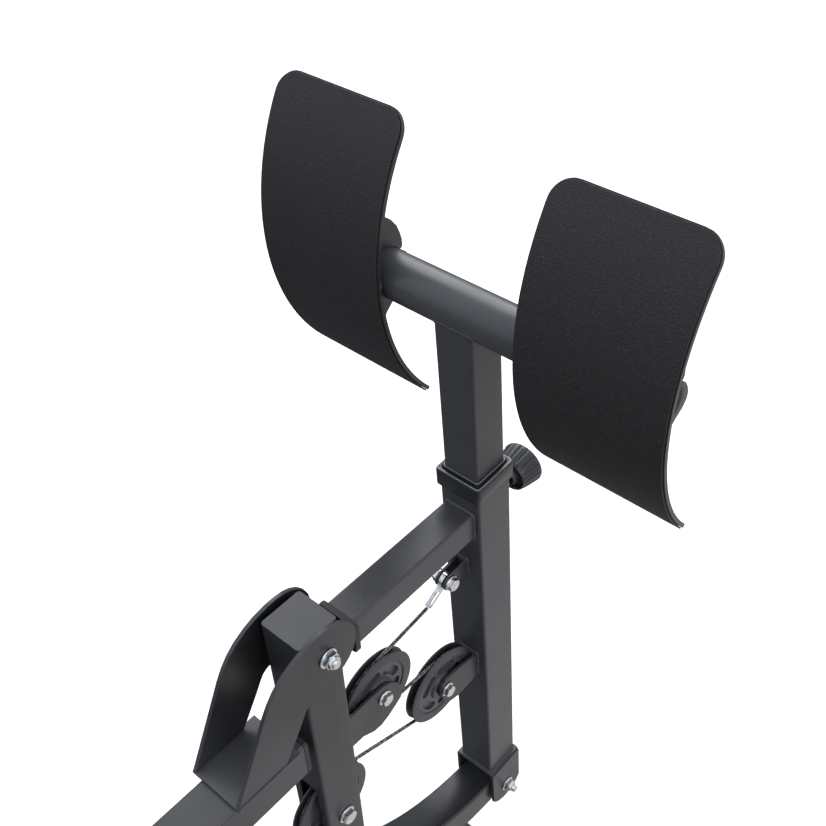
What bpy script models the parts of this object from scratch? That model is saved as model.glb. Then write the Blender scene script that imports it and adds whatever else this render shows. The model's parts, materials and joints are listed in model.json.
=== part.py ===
"""Leg-press station: a hinged press arm with two foot plates, a cable over four pulleys, and its frame.

Metres, +Z up. +X is to the right along the crossbar, +Y is away from the user. The floor is z = 0.
The press arm leans LEAN towards the user and hinges at the bottom of its sleeve.
"""
import math

import bmesh
import bpy
from mathutils import Matrix, Vector

for old in list(bpy.data.objects):
    bpy.data.objects.remove(old, do_unlink=True)

# ---------------------------------------------------------------- driving dimensions
GAP = 0.0003                    # air between parts that touch on the real object
LEAN = math.radians(3.2)        # forward lean of the press arm at rest
TUBE = 0.0575                   # outside width of the frame's square tube
WALL = 0.0025                   # wall of every square tube
CORNER = 0.004                  # outside corner radius of a square tube
PLATE = 0.005                   # thickness of welded steel plates

COLLAR = Vector((0, 0.3288, 0.9125))    # centre of the sleeve's top end
HINGE_DROP = 0.745              # collar to hinge, along the sleeve
SLEEVE = 0.060                  # outside width of the sleeve
SLEEVE_LENGTH = 0.675
POST = 0.0505                   # outside width of the sliding post
POST_BELOW = 0.330              # length of post inside the sleeve
BAR_HEIGHT = 0.2356             # collar to crossbar axis, along the post
BAR_R = 0.0266
BAR_HALF = 0.2380

ARM_W, ARM_H = 0.0426, 0.0440   # upper arm, which runs level to the stop
ARM_TOP = -0.0486               # its top, below the collar
STOP_FRONT = -0.2413            # front face of the stop plate, from the collar
STOP_THICK = 0.008

UPRIGHT_FRONT = -0.3202         # front face of the upright, from the collar
UPRIGHT_TOP = -0.0054
UPRIGHT_MID = UPRIGHT_FRONT + TUBE / 2
UPRIGHT_BACK = UPRIGHT_FRONT + TUBE
RAIL_TOP = -0.166
RAIL_END = -0.336               # where the rail stops short of the upright
FRONT_END = -0.7605             # front face of the rail, from the collar
FOOT_LIFT = 0.005               # height of the base tubes above the floor
BASE_TOP = FOOT_LIFT + TUBE

PULLEY_R = 0.060
PULLEY_W = 0.014                # width over the rims
GROOVE_R = 0.0487
HUB_W = 0.0215
CABLE_R = 0.0025
WRAP_R = GROOVE_R + CABLE_R + GAP
EAR_IN = HUB_W / 2 + 0.0012     # inner face of a pulley bracket's ear
EAR = 0.004

BOLT_R = 0.006
NUT_AF = 0.019                  # across the flats of every nut and bolt head
NUT_H = 0.010
HEAD_H = 0.0075
WASHER_R = 0.0125
WASHER_H = 0.002
SMALL = 0.84                    # size of the smaller bolts' heads, washers and nuts against these

PLATE_R = 0.2865                # bend radius of the foot plates' front face
PLATE_CENTRE = (0.2465, 0.2315)  # centre of that bend, from the collar: back, up
PLATE_LOW = -38.8               # bottom and top of the plates, degrees round the bend
PLATE_HIGH = 40.4
PLATE_X = 0.1752                # middle of a foot plate
PLATE_HALF = 0.0874
SKIN = 0.002                    # textured front skin
RIB_OUT = 0.063                 # outer face of a clamp rib, from the plate's middle

PIN_DROP = 0.0736               # collar to the adjuster knob's axis

# positions worked out from them, as (back, up) from the collar, level with the floor
PULLEY_1 = (-0.1948, -0.2432)
PULLEY_3 = (UPRIGHT_MID, -0.3798)
PULLEY_4 = (PULLEY_3[0] - 2 * WRAP_R, BASE_TOP + 0.070 - COLLAR.z)
GUSSET_BOLT = (-0.2880, -0.0450)
LEFT_GUSSET = 0.0355                # inner face of the left gusset, which a boss holds off the upright
FERRULE_END = (-0.0928, -0.1792)
# the same, along the leaning sleeve
PULLEY_2 = (-0.0970, -0.3530)
ANCHOR = (-0.0652, -0.1541)


# ---------------------------------------------------------------- materials and objects
def material(name, colour, roughness, metallic):
    made = bpy.data.materials.new(name)
    made.use_nodes = True
    shader = made.node_tree.nodes["Principled BSDF"]
    shader.inputs["Base Color"].default_value = (*colour, 1)
    shader.inputs["Roughness"].default_value = roughness
    shader.inputs["Metallic"].default_value = metallic
    return made


STEEL_BLACK = material("powder_coat", (0.022, 0.022, 0.024), 0.42, 0.0)
SKIN_BLACK = material("textured_skin", (0.012, 0.012, 0.013), 0.6, 0.0)
PLASTIC = material("black_plastic", (0.018, 0.018, 0.018), 0.5, 0.0)
RUBBER = material("rubber", (0.02, 0.02, 0.02), 0.8, 0.0)
ZINC = material("zinc", (0.62, 0.63, 0.64), 0.3, 1.0)
WIRE = material("coated_wire", (0.05, 0.05, 0.05), 0.35, 0.0)


def level(back, up, x=0.0):
    """World point, from the collar, level with the floor."""
    return Vector((x, COLLAR.y + back, COLLAR.z + up))


def leaning(back, up, x=0.0):
    """World point, from the collar, along the leaning sleeve."""
    return COLLAR + Matrix.Rotation(LEAN, 3, "X") @ Vector((x, back, up))


def empty(name, place, turn=0.0, parent=None):
    made = bpy.data.objects.new(name, None)
    made.matrix_world = Matrix.Translation(place) @ Matrix.Rotation(turn, 4, "X")
    bpy.context.collection.objects.link(made)
    if parent:
        made.parent = parent
        made.matrix_parent_inverse = parent.matrix_world.inverted()
    return made


FRAME = empty("frame_origin", Vector((0, 0, 0)))
HINGE = empty("hinge_axis", leaning(0, -HINGE_DROP), LEAN)
POST_SLIDE = empty("post_slide", leaning(0, 0), LEAN, HINGE)
PIN_SLIDE = empty("pin_slide", leaning(SLEEVE / 2, -PIN_DROP), LEAN, HINGE)


def add(name, mesh_maker, finish, parent, place=(0, 0, 0), turn=0.0):
    """Object at `place`, in its parent's axes, turned about X."""
    bm = bmesh.new()
    mesh_maker(bm)
    bmesh.ops.recalc_face_normals(bm, faces=bm.faces)
    mesh = bpy.data.meshes.new(name)
    bm.to_mesh(mesh)
    bm.free()
    mesh.materials.append(finish)
    made = bpy.data.objects.new(name, mesh)
    bpy.context.collection.objects.link(made)
    made.parent = parent
    made.location = place
    made.rotation_euler = (turn, 0, 0)
    return made


def boolean(target, tool, operation):
    tool.hide_render = True
    tool.display_type = "WIRE"
    cut = target.modifiers.new(operation.lower(), "BOOLEAN")
    cut.operation = operation
    cut.object = tool


# ---------------------------------------------------------------- shapes
def fill_loft(bm, rings, ring_shaped=False):
    """Skin a list of rings with equal numbers of points; closed at its ends, or into a ring."""
    rows = [[bm.verts.new(point) for point in ring] for ring in rings]
    count = len(rows[0])
    pairs = list(zip(rows, rows[1:]))
    if ring_shaped:
        pairs.append((rows[-1], rows[0]))
    else:
        bm.faces.new(rows[0])
        bm.faces.new(rows[-1])
    for low, high in pairs:
        for i in range(count):
            j = (i + 1) % count
            bm.faces.new((low[i], low[j], high[j], high[i]))


def loft(rings, ring_shaped=False):
    return lambda bm: fill_loft(bm, rings, ring_shaped)


AXES = {"x": lambda u, v, w: (w, u, v), "y": lambda u, v, w: (u, w, v), "z": lambda u, v, w: (u, v, w)}


def prism(loops, start, end, axis):
    """Outline with holes, (u, v) in the plane across `axis`, extruded from start to end."""
    def make(bm):
        turn = AXES[axis]
        edges = []
        for loop in loops:
            points = [bm.verts.new(turn(u, v, start)) for u, v in loop]
            edges += [bm.edges.new((a, b)) for a, b in zip(points, points[1:] + points[:1])]
        bmesh.ops.triangle_fill(bm, use_beauty=True, use_dissolve=False, edges=edges)
        raised = bmesh.ops.extrude_face_region(bm, geom=bm.faces[:])
        moved = [item for item in raised["geom"] if isinstance(item, bmesh.types.BMVert)]
        bmesh.ops.translate(bm, verts=moved, vec=Vector(turn(0, 0, end - start)))
    return make


def arc(cu, cv, radius, start, end, steps):
    """Points on an arc, in degrees from +u towards +v."""
    angles = (math.radians(start + (end - start) * i / steps) for i in range(steps + 1))
    return [(cu + radius * math.cos(a), cv + radius * math.sin(a)) for a in angles]


def circle(cu, cv, radius, steps=20):
    return arc(cu, cv, radius, 0, 360, steps)[:-1]


def rounded(width, height, radius, cu=0.0, cv=0.0, steps=3):
    """Outline of a rectangle with rounded corners, anticlockwise from the right."""
    u, v = width / 2 - radius, height / 2 - radius
    corners = ((u, v, 0), (-u, v, 90), (-u, -v, 180), (u, -v, 270))
    return [p for a, b, turn in corners for p in arc(cu + a, cv + b, radius, turn, turn + 90, steps)]


def square_tube(width, height, start, end, axis, cu=0.0, cv=0.0, wall=WALL, corner=CORNER):
    turn = AXES[axis]
    outer = rounded(width, height, corner, cu, cv)
    inner = rounded(width - 2 * wall, height - 2 * wall, max(corner - wall, 0.001), cu, cv)
    rows = ((outer, start), (outer, end), (inner, end), (inner, start))
    return loft([[turn(u, v, w) for u, v in loop] for loop, w in rows], ring_shaped=True)


def ring_x(x, radius, steps=24):
    return [(x, u, v) for u, v in circle(0, 0, radius, steps)]


def hex_x(x, across):
    """A hexagon as 24 points, so that it lofts to a circle of 24."""
    points = []
    for i in range(24):
        angle = 2 * math.pi * i / 24
        face = (angle + math.pi / 6) % (math.pi / 3) - math.pi / 6
        radius = across / 2 / math.cos(face)
        points.append((x, radius * math.cos(angle), radius * math.sin(angle)))
    return points


def bolt(name, half, parent, place, side=-1, tail=0.003, size=1.0, far=None):
    """Bolt along X with its washers and nut. half is from `place` to the nut's side of the joint, far to the head's.

    side is the head's side, and size scales the head, washers and nut.
    """
    near, far = half + GAP, (far or half) + GAP
    washer, flats, out = WASHER_H * size, NUT_AF * size, WASHER_R * size
    head, crown = far + washer + HEAD_H * size, -(near + washer + NUT_H * size)
    tip = crown - tail
    rows = [hex_x(head, flats * 0.9), hex_x(head - 0.001, flats), hex_x(far + washer, flats),
            ring_x(far + washer, out), ring_x(far, out), ring_x(far, BOLT_R),
            ring_x(-near, BOLT_R), ring_x(-near, out), ring_x(-near - washer, out),
            hex_x(-near - washer, flats), hex_x(crown + 0.003, flats), ring_x(crown, flats * 0.44),
            ring_x(crown, BOLT_R), ring_x(tip, BOLT_R - 0.001)]
    rows = [[(side * x, y, z) for x, y, z in row] for row in rows]
    add(name + "_bolt", loft(rows), ZINC, parent, place)


def bolt_hole(target, half, parent, place, radius=BOLT_R + GAP):
    tool = add(target.name + "_hole", loft([ring_x(-half, radius), ring_x(half, radius)]),
               STEEL_BLACK, parent, place)
    boolean(target, tool, "DIFFERENCE")


# ---------------------------------------------------------------- pulleys
def pulley(name, parent, place):
    """A wheel turning about X at `place`."""
    pivot = empty(name + "_axis", Vector(place))
    pivot.parent = parent
    pivot.location = place
    rim, half, hub, bore = PULLEY_R, PULLEY_W / 2, HUB_W / 2 - 0.002, BOLT_R + GAP
    web = 0.0055
    side = [(HUB_W / 2, bore), (HUB_W / 2, 0.009), (hub, 0.009), (hub, 0.020), (web, 0.022), (web, 0.044),
            (half, 0.047), (half, rim - 0.001), (half - 0.001, rim), (half - 0.0025, rim), (CABLE_R, GROOVE_R)]
    profile = side + [(-x, r) for x, r in reversed(side)]
    wheel = add(name, loft([ring_x(x, r, 40) for x, r in profile], ring_shaped=True), PLASTIC, pivot)
    for i in range(5):
        middle = 72 * i + 18
        slot = arc(0, 0, 0.040, middle - 20, middle + 20, 4) + arc(0, 0, 0.027, middle + 20, middle - 20, 4)
        for side in (1, -1):
            tool = add("%s_slot_%d" % (name, i), prism([slot], side * 0.0015, side * 0.01, "x"), PLASTIC, pivot)
            boolean(wheel, tool, "DIFFERENCE")


def ear_outline(root_u, half_root, cu, cv, radius):
    """Bracket ear: a straight root at root_u, rounded about its bolt at (cu, cv)."""
    out = -90 if cu > root_u else 270
    return [(root_u, cv + half_root), (root_u, cv - half_root)] + arc(cu, cv, radius, out, out + (180 if cu > root_u else -180), 10)


def u_bracket(name, ear, web, half_in, thick, parent, hole, finish=STEEL_BLACK, steps=16):
    """Two ears (outline ear, across X) on a web (u0, u1, v0, v1), as one bent piece with a bolt hole."""
    hole_loop = circle(hole[0], hole[1], BOLT_R + GAP, steps)
    made = add(name, prism([ear, hole_loop], half_in, half_in + thick, "x"), finish, parent)
    other = add(name + "_ear", prism([ear, hole_loop], -half_in - thick, -half_in, "x"), finish, parent)
    u0, u1, v0, v1 = web
    side = half_in + thick * 0.5
    plate = add(name + "_web", prism([[(u0, v0), (u1, v0), (u1, v1), (u0, v1)]], -side, side, "x"), finish, parent)
    boolean(made, other, "UNION")
    boolean(made, plate, "UNION")
    return made


# ---------------------------------------------------------------- frame
def upright():
    top, bottom = COLLAR.z + UPRIGHT_TOP, BASE_TOP + GAP
    middle = COLLAR.y + UPRIGHT_MID
    outer = rounded(TUBE, TUBE, CORNER, 0, middle)
    inner = rounded(TUBE - 2 * WALL, TUBE - 2 * WALL, CORNER - WALL, 0, middle)
    rows = ((outer, top), (outer, bottom), (inner, bottom), (inner, top - WALL))
    post = add("upright", loft([[(u, v, z) for u, v in loop] for loop, z in rows]), STEEL_BLACK, FRAME)
    axle = level(*PULLEY_3)
    slot = add("upright_slot", prism([rounded(0.030, 0.160, 0.010, 0, axle.z)], middle - TUBE, middle + TUBE, "y"),
               STEEL_BLACK, FRAME)
    boolean(post, slot, "DIFFERENCE")
    bolt_hole(post, TUBE, FRAME, axle)
    bolt_hole(post, TUBE, FRAME, level(*GUSSET_BOLT))
    return axle


def curve_points(start, control, end, steps):
    """Points on a parabola from start towards control and on to end."""
    points = []
    for i in range(steps + 1):
        t = i / steps
        a, b, c = (1 - t) ** 2, 2 * t * (1 - t), t * t
        points.append((a * start[0] + b * control[0] + c * end[0], a * start[1] + b * control[1] + c * end[1]))
    return points


def gussets():
    """Side plates that brace the upright on the rail, round about their bolt at the top."""
    back, up = GUSSET_BOLT
    foot = RAIL_TOP + PLATE + 2 * GAP
    lobe = 0.044
    outline = arc(back, up, lobe, -90, 90, 12)
    outline += [(-0.301, -0.0012), (-0.320, -0.0046), (-0.336, -0.0106), (-0.350, -0.0186), (-0.362, -0.0285)]
    outline += [(-0.372, -0.0405), (-0.381, -0.0550), (-0.396, -0.0835), (-0.437, foot)]
    outline += [(-0.366, foot), (-0.3385, -0.119)]
    outline += curve_points((-0.3300, -0.105), (-0.324, -0.0935), (-0.312, -0.0925), 3)
    outline = [(COLLAR.y + u, COLLAR.z + v) for u, v in outline]
    hole = circle(COLLAR.y + back, COLLAR.z + up, BOLT_R + GAP)
    near = TUBE / 2 + GAP
    for side, name, inner in ((1, "gusset_right", near), (-1, "gusset_left", LEFT_GUSSET)):
        plate = add(name, prism([outline, hole], side * inner, side * (inner + PLATE), "x"), STEEL_BLACK, FRAME)
    ring = [circle(COLLAR.y + back, COLLAR.z + up, 0.0125, 24), hole]
    boss = add("gusset_boss", prism(ring, -near, -LEFT_GUSSET - 0.001, "x"), STEEL_BLACK, FRAME)
    boolean(plate, boss, "UNION")
    bolt("gusset", near + PLATE, FRAME, level(*GUSSET_BOLT), far=LEFT_GUSSET + PLATE)


def rail():
    front, rear = COLLAR.y + FRONT_END + PLATE * 1.6, COLLAR.y + RAIL_END
    middle = COLLAR.z + RAIL_TOP - TUBE / 2
    add("rail_tube", square_tube(TUBE, TUBE, front + GAP, rear, "y", 0, middle), STEEL_BLACK, FRAME)
    lip = rounded(TUBE, TUBE, CORNER, 0, middle)
    plug = rounded(TUBE - 2 * WALL - 2 * GAP, TUBE - 2 * WALL - 2 * GAP, 0.001, 0, middle)
    rows = ((lip, rear + 0.006), (lip, rear + GAP), (plug, rear + GAP), (plug, rear - 0.014))
    add("rail_end_cap", loft([[(u, w, v) for u, v in loop] for loop, w in rows]), PLASTIC, FRAME)
    saddle_low = COLLAR.z + RAIL_TOP + GAP
    left, right = -LEFT_GUSSET - PLATE - 0.001, TUBE / 2 + GAP + PLATE + 0.001
    saddle = [(left, COLLAR.y - 0.437), (right, COLLAR.y - 0.437), (right, COLLAR.y - 0.345), (left, COLLAR.y - 0.345)]
    add("saddle_plate", prism([saddle], saddle_low, saddle_low + PLATE, "z"), STEEL_BLACK, FRAME)
    flange = [rounded(0.120, 0.120, 0.010, 0, middle)]
    flange += [circle(u, middle + v, 0.0065, 16) for u in (-0.045, 0.045) for v in (-0.045, 0.045)]
    add("rail_flange", prism(flange, front - PLATE * 1.6, front, "y"), STEEL_BLACK, FRAME)
    leg_y = COLLAR.y + FRONT_END + 0.045
    leg_top = COLLAR.z + RAIL_TOP - TUBE - GAP
    add("front_leg", square_tube(TUBE, TUBE, BASE_TOP + GAP, leg_top, "z", 0, leg_y), STEEL_BLACK, FRAME)
    return leg_y


def foot_cap(name, place, along, size):
    """Plastic end cap with a foot that reaches the floor. along is the outward direction, (x, y)."""
    half = size / 2 - 0.0005
    inner = size / 2 - WALL - 3 * GAP

    def ring(out, wide, low, high):
        side = Vector((-along[1], along[0], 0))
        out = Vector((along[0], along[1], 0)) * out
        return [place + out + side * u + Vector((0, 0, v)) for u, v in
                ((-wide, low), (wide, low), (wide, high), (-wide, high))]
    middle = FOOT_LIFT + size / 2
    rings = [ring(-0.016, inner, middle - inner, middle + inner), ring(GAP, inner, middle - inner, middle + inner),
             ring(GAP, half, 0.0, middle + half), ring(0.007, half, 0.0, middle + half),
             ring(0.010, half - 0.004, 0.0, middle + half - 0.004)]
    add(name, loft(rings), PLASTIC, FRAME)


def base(leg_y):
    middle = FOOT_LIFT + TUBE / 2
    cross = TUBE
    reach = 0.255
    back_foot_y = COLLAR.y - 0.268
    rear_end = COLLAR.y - 0.020
    front_face = leg_y - cross / 2
    add("base_tube", square_tube(TUBE, TUBE, front_face + cross + GAP, rear_end, "y", 0, middle), STEEL_BLACK, FRAME)
    add("front_cross_foot", square_tube(cross, cross, -reach, reach, "x", leg_y, middle), STEEL_BLACK, FRAME)
    inside = TUBE / 2 + GAP
    for side, word in ((1, "right"), (-1, "left")):
        add("rear_foot_" + word, square_tube(cross, cross, side * inside, side * reach, "x", back_foot_y, middle),
            STEEL_BLACK, FRAME)
        foot_cap("front_foot_cap_" + word, Vector((side * reach, leg_y, 0)), (side, 0), cross)
        foot_cap("rear_foot_cap_" + word, Vector((side * reach, back_foot_y, 0)), (side, 0), cross)
    foot_cap("base_end_cap", Vector((0, rear_end, 0)), (0, 1), TUBE)


def lower_tube():
    """Curved tube from the upright's back down to the hinge, and the bush in its end."""
    hinge = leaning(0, -HINGE_DROP)
    start_angle, straight, bend = math.radians(6), 0.045, 0.400
    wall_y = COLLAR.y + UPRIGHT_BACK + GAP
    first = Vector((0, hinge.y - straight * math.cos(start_angle), hinge.z + straight * math.sin(start_angle)))
    last_angle = math.asin(math.sin(start_angle) + (first.y - wall_y + 0.030) / bend)
    path = []
    tail = 0.028
    for along in (-tail, 0.0, straight):
        path.append((Vector((0, hinge.y - along * math.cos(start_angle), hinge.z + along * math.sin(start_angle))),
                     start_angle))
    for i in range(1, 13):
        angle = start_angle + (last_angle - start_angle) * i / 12
        centre = first + Vector((0, -bend * (math.sin(angle) - math.sin(start_angle)),
                                 bend * (math.cos(start_angle) - math.cos(angle))))
        path.append((centre, angle))

    def section(loop, centre, angle):
        up = Vector((0, math.sin(angle), math.cos(angle)))
        return [centre + Vector((u, 0, 0)) + up * v for u, v in loop]
    outer = rounded(TUBE, TUBE, CORNER)
    inner = rounded(TUBE - 2 * WALL, TUBE - 2 * WALL, CORNER - WALL)
    rows = [section(outer, c, a) for c, a in path] + [section(inner, c, a) for c, a in reversed(path)]
    tube = add("lower_tube", loft(rows, ring_shaped=True), STEEL_BLACK, FRAME)
    beyond = [(-TUBE, wall_y - 0.1), (TUBE, wall_y - 0.1), (TUBE, wall_y), (-TUBE, wall_y)]
    tool = add("lower_tube_end", prism([beyond], hinge.z, hinge.z + 0.4, "z"), STEEL_BLACK, FRAME)
    boolean(tube, tool, "DIFFERENCE")
    bush_r = 0.013
    bolt_hole(tube, TUBE, FRAME, hinge, bush_r + GAP)
    rows = ((TUBE / 2 + 0.001, BOLT_R + GAP), (TUBE / 2 + 0.001, bush_r), (-TUBE / 2 - 0.001, bush_r),
            (-TUBE / 2 - 0.001, BOLT_R + GAP))
    add("hinge_bush", loft([ring_x(x, r) for x, r in rows], ring_shaped=True), ZINC, FRAME, hinge)


def frame_pulleys(axle_3):
    """Pulley 1 behind the upright, pulley 3 inside it and pulley 4 on the base tube."""
    axle_1, axle_4 = level(*PULLEY_1), level(*PULLEY_4)
    wall_y = COLLAR.y + UPRIGHT_BACK + GAP
    outline = [(wall_y - COLLAR.y, -0.2212), (-0.2197, -0.2202), (-0.1957, -0.2212), (-0.1827, -0.2267),
               (-0.1727, -0.2362), (-0.1657, -0.2492), (-0.1622, -0.2642), (-0.1657, -0.2752), (-0.1784, -0.2832),
               (-0.1907, -0.2902), (-0.2037, -0.2947), (-0.2167, -0.2932), (-0.2357, -0.2822),
               (wall_y - COLLAR.y, -0.2807)]
    outline = [(COLLAR.y + u, COLLAR.z + v) for u, v in outline]
    hole = circle(axle_1.y, axle_1.z, BOLT_R + GAP, 16)
    for side, word in ((1, "right"), (-1, "left")):
        add("pulley_1_bracket_" + word, prism([outline, hole], side * EAR_IN, side * (EAR_IN + EAR), "x"),
            STEEL_BLACK, FRAME)
    ears = EAR_IN + EAR
    for number, axle, half, size in ((1, axle_1, ears, SMALL), (3, axle_3, TUBE / 2, 1.0), (4, axle_4, ears, SMALL)):
        pulley("pulley_%d" % number, FRAME, axle)
        bolt("pulley_%d" % number, half, FRAME, axle, side=1, size=size)
    floor = BASE_TOP + GAP
    ear = [(axle_4.y + 0.026, floor), (axle_4.y - 0.026, floor)]
    ear += arc(axle_4.y, axle_4.z, 0.022, 180, 0, 10)
    u_bracket("pulley_4_bracket", ear, (axle_4.y - 0.026, axle_4.y + 0.026, floor, floor + 0.005), EAR_IN, EAR,
              FRAME, (axle_4.y, axle_4.z))


def bumper():
    """Rubber stop on the upright's back, which the press arm leans on."""
    front, back = COLLAR.y + UPRIGHT_BACK + GAP, COLLAR.y + STOP_FRONT - GAP
    rows = [(front, 0.016), (back - 0.002, 0.016), (back, 0.014)]
    height = COLLAR.z + ARM_TOP - ARM_H / 2
    rings = [[(u, y, height + v) for u, v in circle(0, 0, r, 24)] for y, r in rows]
    add("stop_bumper", loft(rings), RUBBER, FRAME)


# ---------------------------------------------------------------- press arm, in the hinge's axes
def from_hinge(back, up):
    """(back, up) from the collar to the hinge empty's own axes."""
    return back, up + HINGE_DROP


def sleeve():
    low, high = from_hinge(0, -SLEEVE_LENGTH)[1], from_hinge(0, -0.0005)[1]
    tube = add("sleeve", square_tube(SLEEVE, SLEEVE, low, high, "z"), STEEL_BLACK, HINGE)
    pin_z = from_hinge(0, -PIN_DROP)[1]
    tool = add("sleeve_hole", prism([circle(0, pin_z, 0.0055)], 0.01, 0.04, "y"), STEEL_BLACK, HINGE)
    boolean(tube, tool, "DIFFERENCE")
    top = from_hinge(0, 0)[1]
    profile = ((0.0340, -0.0220, 0.0055), (0.0340, 0.0018, 0.0055), (0.0333, 0.0035, 0.0050), (0.0316, 0.0042, 0.0045),
               (0.0280, 0.0042, 0.0030), (0.0280, 0.0, 0.0030), (0.0303, 0.0, 0.0043), (0.0303, -0.0220, 0.0043))
    rows = [[(u, v, top + z) for u, v in rounded(2 * half, 2 * half, corner)] for half, z, corner in profile]
    add("sleeve_collar", loft(rows, ring_shaped=True), PLASTIC, HINGE)
    profile = ((0.0272, -0.0500, 0.0012), (0.0272, -0.0002, 0.0012), (0.0277, 0.0003, 0.0030), (0.0277, 0.0062, 0.0035),
               (0.0269, 0.0072, 0.0040), (0.02555, 0.0072, 0.0035), (0.02555, -0.0500, 0.0035))
    rows = [[(u, v, top + z) for u, v in rounded(2 * half, 2 * half, corner)] for half, z, corner in profile]
    add("post_bushing", loft(rows, ring_shaped=True), PLASTIC, HINGE)


def upper_arm():
    """Level tube from the sleeve to the stop plate; its rear end is cut to the leaning sleeve."""
    def local(point):
        return HINGE.matrix_world.inverted() @ point

    def ring(loop, at_sleeve):
        points = []
        for u, v in loop:
            up = ARM_TOP - ARM_H / 2 + v
            sleeve_y = -(SLEEVE / 2 + GAP) / math.cos(LEAN) - up * math.tan(LEAN)
            back = sleeve_y if at_sleeve else STOP_FRONT + STOP_THICK + GAP
            points.append(local(level(back, up, u)))
        return points
    outer = rounded(ARM_W, ARM_H, 0.0035)
    inner = rounded(ARM_W - 2 * WALL, ARM_H - 2 * WALL, 0.001)
    rows = [ring(outer, True), ring(outer, False), ring(inner, False), ring(inner, True)]
    add("upper_arm", loft(rows, ring_shaped=True), STEEL_BLACK, HINGE)
    rows = []
    for back, shrink in ((STOP_FRONT, 0.001), (STOP_FRONT + 0.001, 0), (STOP_FRONT + STOP_THICK, 0)):
        loop = rounded(0.056 - shrink, 0.0465 - shrink, 0.005)
        rows.append([local(level(back, ARM_TOP - ARM_H / 2 + v, u)) for u, v in loop])
    add("stop_plate", loft(rows), PLASTIC, HINGE)


def clevis():
    """Inverted U under the sleeve, with the hinge bolt."""
    top = HINGE_DROP - SLEEVE_LENGTH - GAP
    web_low = top - 0.007
    half, drop = 0.0335, 0.037
    ear = [(half, web_low + 0.003), (-half, web_low + 0.003), (-half, -0.014)]
    ear += arc(0, 0, drop, 202, 338, 12)
    ear += [(half, -0.014)]
    u_bracket("clevis", ear, (-half, half, web_low, top), 0.0325, PLATE, HINGE, (0, 0))
    bolt("hinge", 0.0325 + PLATE, HINGE, (0, 0, 0), tail=0.0065)


def arm_fittings():
    """Cable anchor and pulley 2 on the sleeve's front."""
    wall = -SLEEVE / 2 - GAP
    u, v = from_hinge(*ANCHOR)
    half, thick = 0.005, 0.003
    ear = ear_outline(wall, 0.012, u, v, 0.0115)
    u_bracket("cable_anchor", ear, (wall - 0.004, wall, v - 0.012, v + 0.012), half, thick, HINGE, (u, v))
    bolt("anchor", half + thick, HINGE, (0, u, v), side=1, size=SMALL)
    u, v = from_hinge(*PULLEY_2)
    ear = [(wall, -0.3474), (-0.0604, -0.3374), (-0.0954, -0.3304), (-0.1059, -0.3374), (-0.1089, -0.3554),
           (-0.1044, -0.3744), (-0.0924, -0.3904), (-0.0754, -0.3964), (wall, -0.3954)]
    ear = [from_hinge(*point) for point in ear]
    web = (wall - 0.005, wall, ear[-1][1], ear[0][1])
    u_bracket("pulley_2_bracket", ear, web, EAR_IN, EAR, HINGE, (u, v))
    pulley("pulley_2", HINGE, (0, u, v))
    bolt("pulley_2", EAR_IN + EAR, HINGE, (0, u, v), side=1, size=SMALL)


def adjuster():
    """Threaded barrel on the sleeve's back, and the pin and knob that slide in it."""
    def ring_y(y, radius, steps=24):
        return [(u, y, v) for u, v in circle(0, 0, radius, steps)]
    rows = [ring_y(GAP, 0.0058), ring_y(GAP, 0.013), ring_y(0.006, 0.013), ring_y(0.006, 0.010),
            ring_y(0.024, 0.010), ring_y(0.024, 0.0058)]
    barrel = add("adjuster_barrel", loft(rows, ring_shaped=True), ZINC, HINGE)
    barrel.location = (0, SLEEVE / 2, HINGE_DROP - PIN_DROP)
    pin = 0.0055 - GAP
    knob_front, knob_back = 0.0350, 0.0660
    rows = [ring_y(-0.0045, 0.0045, 48), ring_y(-0.003, pin, 48), ring_y(0.0300, pin, 48), ring_y(0.0300, 0.012, 48),
            ring_y(knob_front, 0.0130, 48), ring_y(knob_front, 0.0225, 48), ring_y(knob_front + 0.002, 0.0238, 48)]
    for share in (0.15, 0.85):
        y = knob_front + (knob_back - knob_front) * share
        swell = 0.0238 + (0.0295 - 0.0238) * share
        flutes = [swell * (1 - 0.045 * (1 if i % 6 in (0, 1) else 0)) for i in range(48)]
        rows.append([(r * math.cos(2 * math.pi * i / 48), y, r * math.sin(2 * math.pi * i / 48))
                     for i, r in enumerate(flutes)])
    rows += [ring_y(knob_back, 0.0285, 48), ring_y(knob_back + 0.0015, 0.0260, 48)]
    add("adjuster_knob", loft(rows), PLASTIC, PIN_SLIDE)


# ---------------------------------------------------------------- post, crossbar and foot plates
def post():
    low, high = -POST_BELOW, BAR_HEIGHT
    tube = add("post", square_tube(POST, POST, low, high, "z", corner=0.003), STEEL_BLACK, POST_SLIDE)
    mouth = BAR_R + GAP
    tool = add("post_mouth", loft([ring_x(-0.05, mouth, 48), ring_x(0.05, mouth, 48)]), STEEL_BLACK, POST_SLIDE,
               (0, 0, BAR_HEIGHT))
    boolean(tube, tool, "DIFFERENCE")
    for i in range(6):
        height = -PIN_DROP - 0.120 + 0.040 * i
        hole = add("post_hole_%d" % i, prism([circle(0, height, 0.006, 16)], 0.01, 0.04, "y"), STEEL_BLACK, POST_SLIDE)
        boolean(tube, hole, "DIFFERENCE")


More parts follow.
